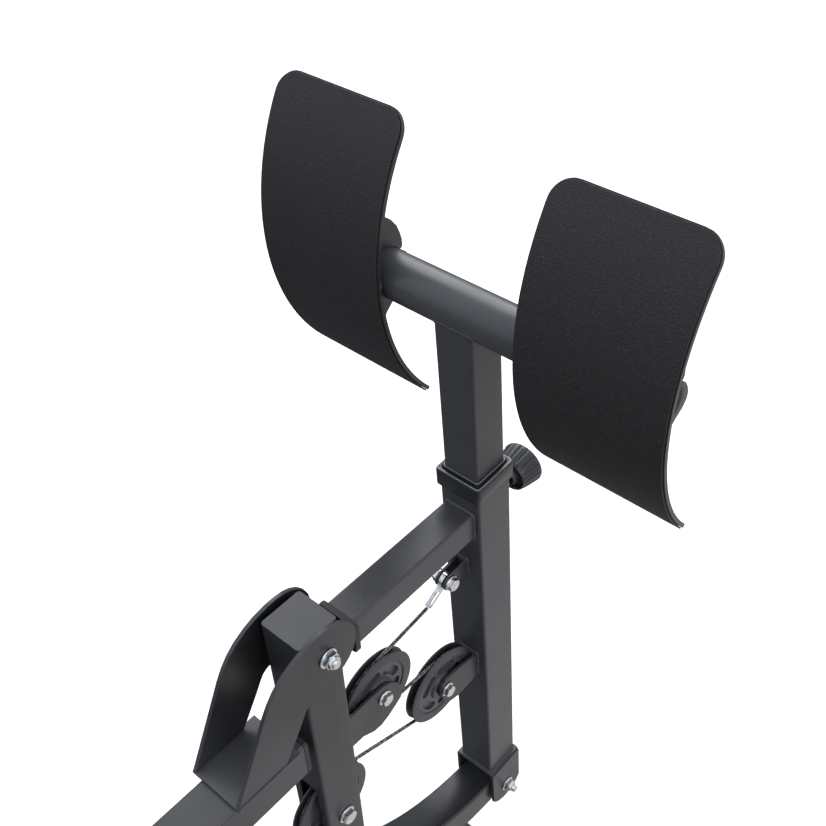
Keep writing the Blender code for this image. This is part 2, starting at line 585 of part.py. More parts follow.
def crossbar():
    axis = (0, 0, BAR_HEIGHT)
    inner = BAR_R - WALL
    rows = [ring_x(-BAR_HALF, inner, 40), ring_x(-BAR_HALF, BAR_R, 40), ring_x(BAR_HALF, BAR_R, 40),
            ring_x(BAR_HALF, inner, 40)]
    add("crossbar", loft(rows, ring_shaped=True), STEEL_BLACK, POST_SLIDE, axis)
    for side, word in ((1, "right"), (-1, "left")):
        plug = inner - GAP
        rows = [(BAR_HALF - 0.015, plug), (BAR_HALF + GAP, plug), (BAR_HALF + GAP, BAR_R - 0.0005),
                (BAR_HALF + 0.002, BAR_R - 0.0005), (BAR_HALF + 0.003, BAR_R - 0.003)]
        add("crossbar_cap_" + word, loft([ring_x(side * x, r, 32) for x, r in rows]), PLASTIC, POST_SLIDE, axis)


def bend_point(radius, degrees):
    """(back, up) on a circle about the foot plates' bend, degrees up from straight ahead."""
    angle = math.radians(degrees)
    return PLATE_CENTRE[0] - radius * math.cos(angle), PLATE_CENTRE[1] + radius * math.sin(angle)


def bent_sheet(centre, half, front, back, low, high, top_corner, low_corner):
    """A sheet bent about X between two radii, with rounded corners."""
    length = math.radians(high - low) * front
    stations = {0.0, length}
    for corner, end in ((low_corner, 0.0), (top_corner, length)):
        for i in range(7):
            reach = corner * (1 - math.cos(math.pi / 2 * i / 6))
            stations.add(abs(end - reach))
    stations |= {low_corner + (length - low_corner - top_corner) * i / 18 for i in range(19)}
    ordered = []
    for place in sorted(stations):
        if not ordered or place - ordered[-1] > 0.0004:
            ordered.append(place)
    ordered[-1] = length
    rings = []
    for place in ordered:
        corner, from_end = (low_corner, place) if place < length / 2 else (top_corner, length - place)
        short = max(corner - from_end, 0.0)
        wide = half - corner + math.sqrt(max(corner ** 2 - short ** 2, 0.0))
        degrees = low + math.degrees(place / front)
        (fu, fv), (bu, bv) = bend_point(front, degrees), bend_point(back, degrees)
        rings.append([(centre - wide, fu, fv), (centre + wide, fu, fv), (centre + wide, bu, bv), (centre - wide, bu, bv)])
    return loft(rings)


def rib_outline():
    """Clamp rib: follows the plate's back and closes round the crossbar, with a slit at the rear."""
    mouth = BAR_R + GAP
    back = PLATE_R - SKIN - PLATE - 3 * GAP
    plate_side = [bend_point(back, d) for d in (-15, -10, -5, 0, 5, 10, 14, 18)]
    upper = [(0.0030, 0.3032), (0.0145, 0.2925), (0.0225, 0.2805), (0.0262, 0.2700), (0.0282, 0.2615),
             (0.0284, 0.2535), (0.0268, 0.2495)]
    slit_high, slit_low = BAR_HEIGHT + 0.0139, BAR_HEIGHT + 0.0099
    start, end = math.degrees(math.asin(0.0139 / mouth)), math.degrees(math.asin(0.0099 / mouth))
    bore = arc(0, BAR_HEIGHT, mouth, start, 360 + end, 28)
    lower = [(0.0285, slit_low), (0.0335, 0.2405), (0.0370, 0.2340), (0.0398, 0.2255), (0.0398, 0.2200),
             (0.0388, 0.2160), (0.0330, 0.2085), (0.0225, 0.2025), (0.0130, 0.1955), (0.0046, 0.1900),
             (-0.0059, 0.1815)]
    assert slit_high > slit_low
    return plate_side + upper + bore + lower


def foot_plates():
    outline = rib_outline()
    for side, word in ((1, "right"), (-1, "left")):
        middle = side * PLATE_X
        steel = PLATE_R - SKIN - GAP
        add("foot_plate_" + word, bent_sheet(middle, PLATE_HALF, steel, steel - PLATE, PLATE_LOW, PLATE_HIGH,
                                             0.026, 0.004), STEEL_BLACK, POST_SLIDE)
        edge = math.degrees(0.003 / PLATE_R)
        add("foot_skin_" + word, bent_sheet(middle, PLATE_HALF - 0.003, PLATE_R, PLATE_R - SKIN, PLATE_LOW + edge,
                                            PLATE_HIGH - edge, 0.023, 0.003), SKIN_BLACK, POST_SLIDE)
        for end, place in ((1, "outer"), (-1, "inner")):
            face = middle + side * end * RIB_OUT
            add("foot_rib_%s_%s" % (word, place), prism([outline], face, face - side * end * PLATE, "x"),
                STEEL_BLACK, POST_SLIDE)


# ---------------------------------------------------------------- cable
def tangent(first, second, turn_1, turn_2, radius):
    """Where a taut cable leaves one circle and meets the next.

    turn is 1 where the cable goes round anticlockwise, seen with back to the right and up upwards,
    and -1 where it goes round clockwise. A circle of radius 0 is a plain point.
    """
    (a, r_a), (b, r_b) = (first, radius[0]), (second, radius[1])
    across = Vector(b) - Vector(a)
    lean = math.asin((turn_2 * r_b - turn_1 * r_a) / across.length)
    along = math.atan2(across.y, across.x) - lean
    normal = Vector((math.sin(along), -math.cos(along)))
    return Vector(a) + normal * r_a * turn_1, Vector(b) + normal * r_b * turn_2


def cable_route():
    """Centre line of the cable, (back, up) in the world, from the anchor's ferrule to the end fitting."""
    ferrule, wheel_2 = level(*FERRULE_END), leaning(*PULLEY_2)
    wheel_1, wheel_3, wheel_4 = level(*PULLEY_1), level(*PULLEY_3), level(*PULLEY_4)
    end_z = wheel_4.z - WRAP_R
    stops = [(ferrule, 0, 1), (wheel_1, WRAP_R, 1), (wheel_2, WRAP_R, -1), (wheel_3, WRAP_R, 1),
             (wheel_4, WRAP_R, -1), (Vector((0, COLLAR.y - 0.600, end_z)), 0, 1)]
    circles = [(Vector((p.y, p.z)), r, t) for p, r, t in stops]
    joins = [tangent(a[0], b[0], a[2], b[2], (a[1], b[1])) for a, b in zip(circles, circles[1:])]
    route = [joins[0][0]]
    for (centre, radius, turn), before, after in zip(circles[1:-1], joins, joins[1:]):
        start = math.atan2(*reversed(before[1] - centre))
        end = math.atan2(*reversed(after[0] - centre))
        while (end - start) * turn < 0:
            end += 2 * math.pi * turn
        steps = math.ceil(abs(end - start) / math.radians(8))
        for i in range(steps + 1):
            angle = start + (end - start) * i / steps
            route.append(centre + radius * Vector((math.cos(angle), math.sin(angle))))
    route.append(joins[-1][1])
    return route


def cable():
    route = cable_route()
    rings = []
    for i, point in enumerate(route):
        ahead = (route[min(i + 1, len(route) - 1)] - route[max(i - 1, 0)]).normalized()
        normal = Vector((-ahead.y, ahead.x))
        ring = []
        for k in range(8):
            angle = 2 * math.pi * k / 8
            side = point + normal * CABLE_R * math.sin(angle)
            ring.append((CABLE_R * math.cos(angle), side.x, side.y))
        rings.append(ring)
    add("pull_cable", loft(rings), WIRE, FRAME)
    return route


def cable_ends(route):
    """Eye and ferrule at the anchor, and the fitting and its tab on the base tube."""
    anchor = leaning(*ANCHOR)
    ahead = (route[0] - Vector((anchor.y, anchor.z))).normalized()
    turn = math.atan2(ahead.y, ahead.x)
    reach = (route[0] - Vector((anchor.y, anchor.z))).length - 4 * GAP
    outline = arc(0, 0, 0.0115, 40, 320, 14)
    outline += [(0.016, -0.0042), (reach, -0.0042), (reach, 0.0042), (0.016, 0.0042)]
    loops = [outline, circle(0, 0, BOLT_R + GAP, 16)]
    eye = add("cable_eye", prism(loops, -0.004, 0.004, "x"), ZINC, HINGE)
    eye.location = (0, *from_hinge(*ANCHOR))
    eye.rotation_euler = (turn - LEAN, 0, 0)
    end = route[-1]
    rows = [ring_x(GAP, 0.0035, 16), ring_x(0.002, 0.0048, 16), ring_x(0.030, 0.0048, 16), ring_x(0.0305, 0.0040, 16),
            ring_x(0.065, 0.0040, 16)]
    fitting = add("cable_end_fitting", loft(rows), ZINC, FRAME, (0, end.x, end.y))
    fitting.rotation_euler = (0, 0, -math.pi / 2)
    tab_y, low, high = end.x - 0.050, BASE_TOP + GAP, end.y + 0.014
    tab = prism([[(-0.020, low), (0.020, low), (0.020, high), (-0.020, high)],
                 circle(0, end.y, 0.0040 + GAP, 16)], tab_y - 0.005, tab_y, "y")
    add("cable_tab", tab, STEEL_BLACK, FRAME)


axle_3 = upright()
gussets()
leg_y = rail()
base(leg_y)
lower_tube()
frame_pulleys(axle_3)
bumper()
sleeve()
upper_arm()
clevis()
arm_fittings()
adjuster()
post()
crossbar()
foot_plates()
cable_ends(cable())
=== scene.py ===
"""Leg-press station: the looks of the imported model. Metres, +Z up, the same frame as the model."""
import json
import math

import bmesh
import bpy
from mathutils import Matrix, Vector

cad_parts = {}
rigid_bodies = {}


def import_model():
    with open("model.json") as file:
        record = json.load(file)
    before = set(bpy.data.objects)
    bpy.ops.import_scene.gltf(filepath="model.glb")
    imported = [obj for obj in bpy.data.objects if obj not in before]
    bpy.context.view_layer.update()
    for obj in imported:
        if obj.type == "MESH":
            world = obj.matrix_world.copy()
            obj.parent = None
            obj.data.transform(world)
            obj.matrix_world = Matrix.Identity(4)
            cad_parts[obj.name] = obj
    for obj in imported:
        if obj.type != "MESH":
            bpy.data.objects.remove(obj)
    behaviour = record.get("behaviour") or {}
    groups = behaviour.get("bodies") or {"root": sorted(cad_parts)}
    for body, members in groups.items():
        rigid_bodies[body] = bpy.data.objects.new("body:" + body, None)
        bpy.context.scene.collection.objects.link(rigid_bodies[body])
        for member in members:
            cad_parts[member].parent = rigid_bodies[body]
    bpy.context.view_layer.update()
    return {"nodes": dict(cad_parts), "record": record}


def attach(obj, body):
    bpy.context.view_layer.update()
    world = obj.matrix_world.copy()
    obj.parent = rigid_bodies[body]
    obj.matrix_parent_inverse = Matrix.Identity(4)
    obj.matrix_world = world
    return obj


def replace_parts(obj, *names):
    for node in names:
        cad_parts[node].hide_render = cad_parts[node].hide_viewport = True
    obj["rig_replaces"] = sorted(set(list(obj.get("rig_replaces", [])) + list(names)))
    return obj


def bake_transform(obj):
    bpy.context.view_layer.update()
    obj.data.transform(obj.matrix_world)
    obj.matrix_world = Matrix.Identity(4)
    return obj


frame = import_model()
NODES = frame["nodes"]
BODY = {node: body for body, nodes in frame["record"]["behaviour"]["bodies"].items() for node in nodes}
SLOT = {part["node"]: part["material_slot"] for part in frame["record"]["subparts"]}

# ---------------------------------------------------------------- dimensions shared with the model
GAP = 0.0003
LEAN = math.radians(3.2)
COLLAR = Vector((0, 0.3288, 0.9125))    # centre of the sleeve's top end
TUBE, WALL, PLATE = 0.0575, 0.0025, 0.005
HINGE_DROP, SLEEVE, SLEEVE_LENGTH = 0.745, 0.060, 0.675
POST, BAR_HEIGHT, BAR_R, BAR_HALF = 0.0505, 0.2356, 0.0266, 0.2380
ARM_W, ARM_H, ARM_TOP = 0.0426, 0.0440, -0.0486
UPRIGHT_FRONT = -0.3202
UPRIGHT_MID, UPRIGHT_BACK = UPRIGHT_FRONT + TUBE / 2, UPRIGHT_FRONT + TUBE
RAIL_TOP, FRONT_END, BASE_TOP = -0.166, -0.7605, 0.0625
PULLEY_R, PULLEY_W, GROOVE_R, HUB_W, CABLE_R = 0.060, 0.014, 0.0487, 0.0215, 0.0025
WRAP_R = GROOVE_R + CABLE_R + GAP
EAR_IN, EAR = HUB_W / 2 + 0.0012, 0.004
BOLT_R, NUT_AF, NUT_H, HEAD_H, WASHER_R, WASHER_H = 0.006, 0.019, 0.010, 0.0075, 0.0125, 0.002
PLATE_R, PLATE_CENTRE, PLATE_LOW, PLATE_HIGH = 0.2865, (0.2465, 0.2315), -38.8, 40.4
PLATE_X, PLATE_HALF, SKIN, RIB_OUT, PIN_DROP = 0.1752, 0.0874, 0.002, 0.063, 0.0736
SMALL = 0.84                            # the smaller bolts against these
PULLEY_1 = (-0.1948, -0.2432)
PULLEY_3 = (UPRIGHT_MID, -0.3798)
PULLEY_4 = (PULLEY_3[0] - 2 * WRAP_R, BASE_TOP + 0.070 - COLLAR.z)
GUSSET_BOLT = (-0.2880, -0.0450)
LEFT_GUSSET = 0.0355                    # inner face of the left gusset
FERRULE_END = (-0.0928, -0.1792)
PULLEY_2 = (-0.0970, -0.3530)           # these two along the leaning sleeve
ANCHOR = (-0.0652, -0.1541)

LEVEL = Matrix.Translation(COLLAR)
LEANING = LEVEL @ Matrix.Rotation(LEAN, 4, "X")


def level(back, up, x=0.0):
    """World point, from the collar, level with the floor."""
    return LEVEL @ Vector((x, back, up))


def leaning(back, up, x=0.0):
    """World point, from the collar, along the leaning sleeve."""
    return LEANING @ Vector((x, back, up))


# ---------------------------------------------------------------- camera, floor and lights
def camera():
    """Stands above the seat side, to the right, and looks down at the arm; fitted to the tubes' edges."""
    data = bpy.data.cameras.new("camera")
    made = bpy.data.objects.new("camera", data)
    bpy.context.scene.collection.objects.link(made)
    place = COLLAR + Vector((0.585776, -0.724732, 0.915476))
    ahead = Vector((-0.48904711, 0.52793149, -0.69434953))
    right = Vector((0.75315918, 0.65711467, -0.03084728))
    turn = Matrix((right, right.cross(ahead), -ahead)).transposed()
    made.matrix_world = Matrix.Translation(place) @ turn.to_4x4()
    data.sensor_width = 36
    data.lens = 48.08
    data.shift_x = -0.0096
    data.shift_y = 0.0529
    data.clip_end = 50
    bpy.context.scene.camera = made


def light(name, place, aim, energy, size):
    data = bpy.data.lights.new(name, "AREA")
    data.energy = energy
    data.shape = "SQUARE"
    data.size = size
    made = bpy.data.objects.new(name, data)
    bpy.context.scene.collection.objects.link(made)
    made.location = place
    made.rotation_euler = (Vector(aim) - Vector(place)).to_track_quat("-Z", "Y").to_euler()


def sky():
    """Soft light from above, dim below, with a warm glow low on the right."""
    world = bpy.data.worlds.new("studio")
    world.use_nodes = True
    tree = world.node_tree
    shade = tree.nodes["Background"]
    place = tree.nodes.new("ShaderNodeTexCoord")
    total = tree.nodes.new("ShaderNodeMix")
    total.data_type = "RGBA"
    total.blend_type = "ADD"
    total.inputs["Factor"].default_value = 1.0
    above = ((-0.9, (0.10, 0.10, 0.11)), (-0.10, (0.13, 0.145, 0.17)), (0.05, (0.47, 0.505, 0.57)),
             (0.9, (0.83, 0.88, 0.97)))
    glow = ((0.35, (0, 0, 0)), (0.95, (0.50, 0.46, 0.45)))
    for socket, toward, stops in (("A", (0, 0, 1), above), ("B", (0.62, 0.50, -0.60), glow)):
        dot = tree.nodes.new("ShaderNodeVectorMath")
        dot.operation = "DOT_PRODUCT"
        dot.inputs[1].default_value = toward
        tree.links.new(place.outputs["Generated"], dot.inputs[0])
        span = tree.nodes.new("ShaderNodeMapRange")
        span.inputs["From Min"].default_value = -1.0
        tree.links.new(dot.outputs["Value"], span.inputs["Value"])
        ramp = tree.nodes.new("ShaderNodeValToRGB")
        while len(ramp.color_ramp.elements) < len(stops):
            ramp.color_ramp.elements.new(0.5)
        for element, (value, colour) in zip(ramp.color_ramp.elements, stops):
            element.position = (value + 1) / 2
            element.color = (*colour, 1)
        tree.links.new(span.outputs["Result"], ramp.inputs["Fac"])
        tree.links.new(ramp.outputs["Color"], total.inputs[socket])
    tree.links.new(total.outputs["Result"], shade.inputs["Color"])
    shade.inputs["Strength"].default_value = 1.1
    bpy.context.scene.world = world


def backing(name, colour, glow):
    """Pale stage piece that stays out of the reflections and the bounced light."""
    made = bpy.context.object
    made.name = name
    made.visible_glossy = False
    made.visible_diffuse = False
    paper = bpy.data.materials.new(name)
    paper.use_nodes = True
    shader = paper.node_tree.nodes["Principled BSDF"]
    shader.inputs["Base Color"].default_value = (colour, colour, colour, 1)
    shader.inputs["Roughness"].default_value = 0.9
    shader.inputs["Emission Color"].default_value = (1, 1, 1, 1)
    shader.inputs["Emission Strength"].default_value = glow
    made.data.materials.append(paper)
    return made


def studio():
    sky()
    bpy.context.scene.view_settings.view_transform = "Standard"
    bpy.ops.mesh.primitive_plane_add(size=30, location=(0, 0, 0))
    backing("floor", 0.95, 0.26)
    bpy.ops.mesh.primitive_cylinder_add(vertices=64, radius=14, depth=24, location=(0, 0, 0))
    backing("backdrop", 0.0, 1.0).visible_shadow = False
    light("key", (-1.7, 2.1, 3.0), (0, 0.2, 0.7), 55, 2.4)
    light("fill", (2.6, -0.2, 2.2), (0, 0.2, 0.7), 12, 1.8)


# ---------------------------------------------------------------- materials
BLACK, WHITE = (0, 0, 0), (1, 1, 1)


class Nodes:
    """Short hand for a material's node tree."""

    def __init__(self, name, **shader):
        self.material = bpy.data.materials.new(name)
        self.material.use_nodes = True
        self.tree = self.material.node_tree
        self.shader = self.tree.nodes["Principled BSDF"]
        for key, value in shader.items():
            self.shader.inputs[key.replace("_", " ").title()].default_value = value
        self.place = self.add("TexCoord").outputs["Object"]

    def add(self, kind, **values):
        node = self.tree.nodes.new("ShaderNode" + kind)
        for key, value in values.items():
            node.inputs[key.replace("_", " ").title()].default_value = value
        return node

    def link(self, out, into):
        self.tree.links.new(out, into)

    def noise(self, scale, detail=2.0):
        node = self.add("TexNoise", scale=scale, detail=detail)
        self.link(self.place, node.inputs["Vector"])
        return node.outputs["Fac"]

    def cells(self, scale):
        node = self.add("TexVoronoi", scale=scale)
        self.link(self.place, node.inputs["Vector"])
        return node.outputs["Distance"]

    def ramp(self, value, low, high, dark, bright):
        node = self.add("ValToRGB")
        first, last = node.color_ramp.elements
        first.position, last.position = low, high
        first.color, last.color = (*dark, 1), (*bright, 1)
        self.link(value, node.inputs["Fac"])
        return node.outputs["Color"]

    def span(self, value, low, high):
        node = self.add("MapRange")
        node.inputs["From Min"].default_value = 0.3
        node.inputs["From Max"].default_value = 0.7
        node.inputs["To Min"].default_value = low
        node.inputs["To Max"].default_value = high
        self.link(value, node.inputs["Value"])
        return node.outputs["Result"]

    def lighten(self, colour, amount, mask):
        """Adds amount where the mask is white."""
        node = self.tree.nodes.new("ShaderNodeMix")
        node.data_type = "RGBA"
        node.blend_type = "ADD"
        self.link(mask, node.inputs["Factor"])
        self.link(colour, node.inputs["A"])
        node.inputs["B"].default_value = (*amount, 1)
        return node.outputs["Result"]

    def edges(self, low=0.51, high=0.58):
        """Mask that is white on outer edges, where the materials paint a highlight."""
        return self.ramp(self.add("NewGeometry").outputs["Pointiness"], low, high, BLACK, WHITE)

    def bump(self, height, strength, distance, after=None):
        node = self.add("Bump", strength=strength, distance=distance)
        self.link(height, node.inputs["Height"])
        if after:
            self.link(after, node.inputs["Normal"])
        return node.outputs["Normal"]

    # Links the colour, with its painted edge highlight where there is one, the roughness and the bump to the
    # shader.
    def connect_surface(self, colour, rough, normal):
        self.link(colour, self.shader.inputs["Base Color"])
        self.link(rough, self.shader.inputs["Roughness"])
        self.link(normal, self.shader.inputs["Normal"])
        return self.material


def scaled(colour, factor):
    return tuple(c * factor for c in colour)


def powder_coat(name, colour, low=0.26, high=0.37):
    n = Nodes(name)
    blotch = n.noise(12.0, 5.0)
    base = n.ramp(blotch, 0.3, 0.7, scaled(colour, 0.82), scaled(colour, 1.18))
    specks = n.ramp(n.noise(2600.0, 1.0), 0.58, 0.75, BLACK, WHITE)
    base = n.lighten(base, (0.010, 0.010, 0.011), specks)
    # Painted highlight: the outer edges are lightened as if light caught them.
    base = n.lighten(base, (0.075, 0.075, 0.078), n.edges())
    normal = n.bump(n.noise(850.0), 0.16, 0.0003)
    normal = n.bump(n.noise(60.0), 0.10, 0.001, normal)
    return n.connect_surface(base, n.span(blotch, low, high), normal)


def textured_skin(name, colour):
    n = Nodes(name)
    blotch, grain = n.noise(9.0, 6.0), n.noise(640.0, 3.0)
    base = n.ramp(blotch, 0.3, 0.7, scaled(colour, 0.85), scaled(colour, 1.15))
    base = n.lighten(base, (0.030, 0.032, 0.034), n.ramp(grain, 0.52, 0.72, BLACK, WHITE))
    specks = n.ramp(n.cells(420.0), 0.10, 0.22, WHITE, BLACK)
    base = n.lighten(base, (0.014, 0.014, 0.015), specks)
    # Painted glint: a thin reddish-brown highlight along the outer edges.
    base = n.lighten(base, (0.075, 0.048, 0.036), n.edges())
    normal = n.bump(grain, 0.9, 0.0009)
    normal = n.bump(n.cells(420.0), 0.35, 0.0005, normal)
    return n.connect_surface(base, n.span(grain, 0.42, 0.62), normal)


def plastic(name, colour, low=0.38, high=0.55, grain=700.0, edge=0.9):
    n = Nodes(name)
    blotch = n.noise(25.0, 4.0)
    base = n.ramp(blotch, 0.3, 0.7, scaled(colour, 0.8), scaled(colour, 1.2))
    # Painted highlight: the outer edges are lightened by edge times the colour.
    base = n.lighten(base, scaled(colour, edge), n.edges())
    return n.connect_surface(base, n.span(blotch, low, high), n.bump(n.noise(grain), 0.12, 0.0003))


def bright_metal(name, colour, low=0.16, high=0.34, stain=(0.62, 0.60, 0.56)):
    n = Nodes(name, metallic=1.0)
    blotch = n.noise(180.0, 4.0)
    base = n.ramp(blotch, 0.35, 0.65, tuple(c * s for c, s in zip(colour, stain)), colour)
    return n.connect_surface(base, n.span(n.noise(420.0, 3.0), low, high), n.bump(n.noise(900.0), 0.18, 0.0003))


COAT = powder_coat("powder_coat_black", (0.0118, 0.0121, 0.0134))
SKIN_TEXTURE = textured_skin("textured_skin_black", (0.0050, 0.0068, 0.0092))
PLASTIC = plastic("moulded_black", (0.015, 0.015, 0.0156))
# edge sets the strength of the painted edge highlight on these plastics.
GLOSSY = plastic("glossy_black", (0.012, 0.0122, 0.013), 0.16, 0.26, edge=2.0)
# Bright material for the painted highlight along the collar's and the bushing's rims.
PAINTED_RIM_HIGHLIGHT = plastic("painted_rim_highlight", (0.20, 0.205, 0.22), 0.2, 0.3)
KNOB = plastic("knob_black", (0.026, 0.027, 0.030), 0.18, 0.28, edge=3.0)
WHEEL = plastic("pulley_black", (0.027, 0.027, 0.029), 0.30, 0.44, edge=2.0)
NECK = plastic("dark_neck", (0.035, 0.035, 0.035))
RUBBER = plastic("rubber_black", (0.015, 0.015, 0.015), 0.7, 0.85, 350.0)
ZINC = bright_metal("zinc_plate", (0.96, 0.97, 0.98), 0.14, 0.30, (0.74, 0.73, 0.71))
STEEL = bright_metal("bearing_steel", (0.42, 0.42, 0.43), 0.25, 0.4)
STRAND = bright_metal("wire_rope", (0.30, 0.28, 0.26), 0.24, 0.40, (0.25, 0.23, 0.21))
NYLON = plastic("nylon_ring", (0.45, 0.46, 0.48), 0.4, 0.5)
FINISH = {"powder_coat": COAT, "textured_skin": SKIN_TEXTURE, "black_plastic": PLASTIC, "rubber": RUBBER,
          "zinc": ZINC, "coated_wire": STRAND}


# ---------------------------------------------------------------- shapes
AXES = {"x": lambda u, v, w: (w, u, v), "y": lambda u, v, w: (u, w, v), "z": lambda u, v, w: (u, v, w)}


def arc(cu, cv, radius, start, end, steps):
    """Points on an arc, in degrees from +u towards +v."""
    angles = (math.radians(start + (end - start) * i / steps) for i in range(steps + 1))
    return [(cu + radius * math.cos(a), cv + radius * math.sin(a)) for a in angles]


def circle(cu, cv, radius, steps=48):
    return arc(cu, cv, radius, 0, 360, steps)[:-1]


def rounded(half, radius):
    """Square that reaches half to each side of its middle, with rounded corners."""
    flat = half - radius
    corners = ((flat, flat, 0), (-flat, flat, 90), (-flat, -flat, 180), (flat, -flat, 270))
    return [p for a, b, turn in corners for p in arc(a, b, radius, turn, turn + 90, 7)]


def polish(made, bevel, smooth, segments):
    """Rounds the sharp edges and makes the shading follow the big faces."""
    made.data.shade_smooth()
    if bevel:
        rounding = made.modifiers.new("rounding", "BEVEL")
        rounding.width = bevel
        rounding.segments = segments
        rounding.limit_method = "ANGLE"
        rounding.angle_limit = math.radians(smooth)
        weighted = made.modifiers.new("weighted", "WEIGHTED_NORMAL")
        weighted.keep_sharp = True
        ready = bpy.data.meshes.new_from_object(made.evaluated_get(bpy.context.evaluated_depsgraph_get()))
        made.modifiers.clear()
        made.data = ready
    else:
        made.data.set_sharp_from_angle(angle=math.radians(smooth))


def show(name, mesh, finishes, body, replaced, bevel, smooth, segments, ride=True):
    made = bpy.data.objects.new(name, mesh)
    bpy.context.scene.collection.objects.link(made)
    for finish in finishes:
        mesh.materials.append(finish)
    polish(made, bevel, smooth, segments)
    if ride:
        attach(made, body)
    if replaced:
        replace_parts(made, *replaced)
    return made


class Shape:
    """Closed shells in axes of their own, until they are placed by a matrix."""

    def __init__(self):
        self.bm = bmesh.new()

    def paint(self, faces, finish):
        for face in faces:
            face.material_index = finish
        return self

    def loft(self, rings, joined=False, finish=0):
        """Skin of rings with equal numbers of points, closed at its ends, or into a ring."""
        rows = [[self.bm.verts.new(point) for point in ring] for ring in rings]
        count, faces = len(rows[0]), []
        pairs = list(zip(rows, rows[1:]))
        if joined:
            pairs.append((rows[-1], rows[0]))
        else:
            faces += [self.bm.faces.new(rows[0]), self.bm.faces.new(rows[-1])]
        for low, high in pairs:
            for i in range(count):
                j = (i + 1) % count
                faces.append(self.bm.faces.new((low[i], low[j], high[j], high[i])))
        return self.paint(faces, finish)

    def lathe(self, profile, axis="x", steps=64, joined=True, finish=0, flute=None):
        """Outline of (along, radius) turned about an axis."""
        turn = AXES[axis]
        rings = []
        for along, radius in profile:
            ring = []
            for i in range(steps):
                angle = 2 * math.pi * i / steps
                r = radius * (flute(along, angle) if flute else 1)
                ring.append(turn(r * math.cos(angle), r * math.sin(angle), along))
            rings.append(ring)
        return self.loft(rings, joined, finish)

    def prism(self, loops, start, end, axis, finish=0):
        """Outline with holes, (u, v) in the plane across axis, extruded from start to end."""
        turn = AXES[axis]
        edges = []
        for loop in loops:
            points = [self.bm.verts.new(turn(u, v, start)) for u, v in loop]
            edges += [self.bm.edges.new((a, b)) for a, b in zip(points, points[1:] + points[:1])]
        flat = bmesh.ops.triangle_fill(self.bm, use_beauty=True, use_dissolve=False, edges=edges)["geom"]
        flat = [item for item in flat if isinstance(item, bmesh.types.BMFace)]
        before = set(self.bm.faces)
        raised = bmesh.ops.extrude_face_region(self.bm, geom=flat)["geom"]
        moved = [item for item in raised if isinstance(item, bmesh.types.BMVert)]
        bmesh.ops.translate(self.bm, verts=moved, vec=Vector(turn(0, 0, end - start)))
        return self.paint(flat + [face for face in self.bm.faces if face not in before], finish)

    def bead(self, path, radius, closed=True):
        """Rippled weld bead along a path of points."""
        points = [Vector(p) for p in path]
        corners = points + points[:1] if closed else points
        route, along = [], 0.0
        for a, b in zip(corners, corners[1:]):
            pieces = max(1, round((b - a).length / 0.0012))
            route += [a.lerp(b, i / pieces) for i in range(pieces)]
        if not closed:
            route.append(corners[-1])
        rings, count = [], len(route)
        side_before = None
        for i, point in enumerate(route):
            if closed:
                ahead = (route[(i + 1) % count] - route[i - 1]).normalized()
            else:
                ahead = (route[min(i + 1, count - 1)] - route[max(i - 1, 0)]).normalized()
            if side_before is None:
                side = ahead.orthogonal().normalized()
            else:
                side = (side_before - ahead * side_before.dot(ahead)).normalized()
            side_before = side
            up = ahead.cross(side)
            ripple = radius * (1 + 0.13 * math.cos(2 * math.pi * i / 3.7) + 0.05 * math.sin(i * 0.61))
            ring = []
            for k in range(8):
                angle = 2 * math.pi * k / 8
                ring.append(point + side * ripple * math.cos(angle) + up * ripple * math.sin(angle))
            rings.append(ring)
        return self.loft(rings, joined=False) if not closed else self.wrap(rings)

    def wrap(self, rings):
        """Joins the last ring to the first where the first is turned round against it."""
        last, first = rings[-1], rings[0]
        turned = min(range(len(first)), key=lambda k: (first[k] - last[0]).length)
        rings.append([p.copy() for p in first[turned:] + first[:turned]])
        return self.loft(rings, joined=False)

    def make(self, name, finishes, body, slot, replaced=(), matrix=None, bevel=0.0, smooth=35, segments=2):
        if matrix:
            self.bm.transform(matrix)
        bmesh.ops.recalc_face_normals(self.bm, faces=self.bm.faces)
        mesh = bpy.data.meshes.new(name)
        self.bm.to_mesh(mesh)
        self.bm.free()
        return show(name, mesh, finishes, body, replaced, bevel, smooth, segments)


def refine(node, bevel=0.0007, smooth=33):
    """A CAD solid with its sharp edges rounded and its real finish."""
    bm = bmesh.new()
    bm.from_mesh(NODES[node].data)
    bmesh.ops.remove_doubles(bm, verts=bm.verts, dist=0.00002)
    mesh = bpy.data.meshes.new(node + "_made")
    mesh.from_pydata([v.co[:] for v in bm.verts], [], [[v.index for v in face.verts] for face in bm.faces])
    bm.free()
    return show(node + "_made", mesh, [FINISH[SLOT[node]]], BODY[node], [node], bevel, smooth, 2)


# ---------------------------------------------------------------- bolts
def hex_radius(angle, across):
    return across / 2 / math.cos((angle + math.pi / 6) % (math.pi / 3) - math.pi / 6)


def hexagon(shape, start, end, across):
    """Hexagon along X whose corners are turned off at its end."""
    steps, inner, out = 48, across / 2 * 0.95, (1 if end > start else -1)

    def ring(x, away, share):
        points = []
        for i in range(steps):
            angle = 2 * math.pi * i / steps
            radius = inner + (hex_radius(angle, across) - inner) * share
            back = out * away * (radius - inner) * 0.6
            points.append((x - back, radius * math.cos(angle), radius * math.sin(angle)))
        return points
    return shape.loft([ring(start, 0, 1)] + [ring(end, 1, share) for share in (1, 0.5, 0)])


def washer(shape, start, end, size):
    soft, out, bore = 0.0004, WASHER_R * size, BOLT_R * size + GAP
    step = soft if end > start else -soft
    shape.lathe([(start, bore), (start, out - soft), (start + step, out), (end - step, out),
                 (end, out - soft), (end, bore)], steps=48)


